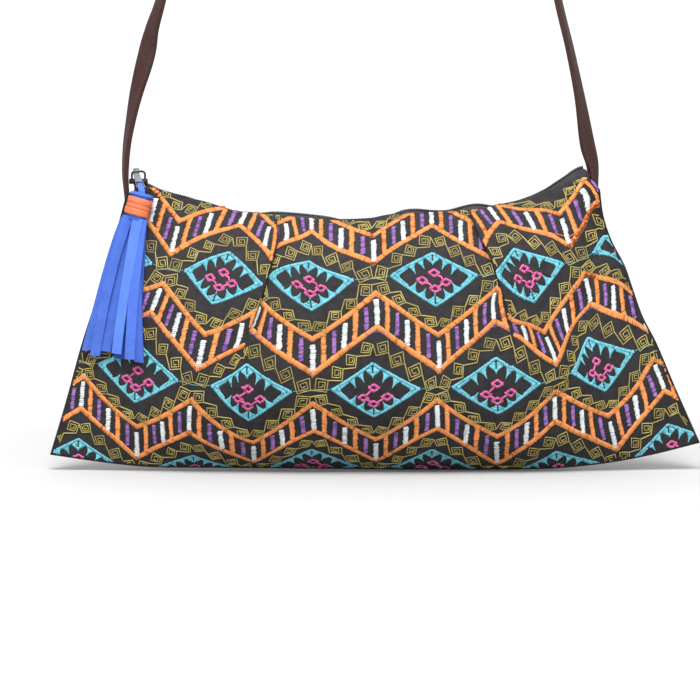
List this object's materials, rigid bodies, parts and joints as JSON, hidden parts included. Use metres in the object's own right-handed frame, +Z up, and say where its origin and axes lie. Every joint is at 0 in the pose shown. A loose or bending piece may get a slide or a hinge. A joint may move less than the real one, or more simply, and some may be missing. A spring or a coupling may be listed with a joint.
{
  "type": "embroidered crossbody bag",
  "caption": "Flat pleated cloth pouch covered in zigzag and diamond embroidery, zipped along its top, with a suede tassel on the zip pull and a long narrow leather strap.",
  "frame": {"origin": "underside of the strap's top bend, where the bag hangs", "axes": "+Z up along the hanging bag, +X along the zip away from its closed end, the front faces -Y"},
  "size_m": [0.3302, 0.0684, 0.6835],
  "materials": {
    "embroidered_cloth": "black twill worked in orange, white, purple, cyan, pink and olive thread",
    "zip_tape": "charcoal woven tape",
    "zip_teeth": "black nylon coil",
    "zip_metal": "gunmetal",
    "pull_metal": "worn nickel",
    "tassel_suede": "cobalt suede",
    "binding_thread": "wound orange thread",
    "strap_leather": "dark brown, edge stitched"
  },
  "bodies": {
    "bag": {"front_panel": "embroidered_cloth", "back_panel": "embroidered_cloth", "zip_tape_front": "zip_tape", "zip_tape_back": "zip_tape", "zip_teeth": "zip_teeth", "zip_slider": "zip_metal", "strap": "strap_leather"},
    "zip_pull": {"pull_tab": "pull_metal", "tassel": "tassel_suede", "tassel_binding": "binding_thread"}
  },
  "joints": [
    {"name": "pull_swing", "type": "hinge", "parent": "bag", "child": "zip_pull", "pos_m": [-0.1195, 0, -0.52986], "axis": [-1, 0, 0], "range_deg": [0, 90]}
  ]
}
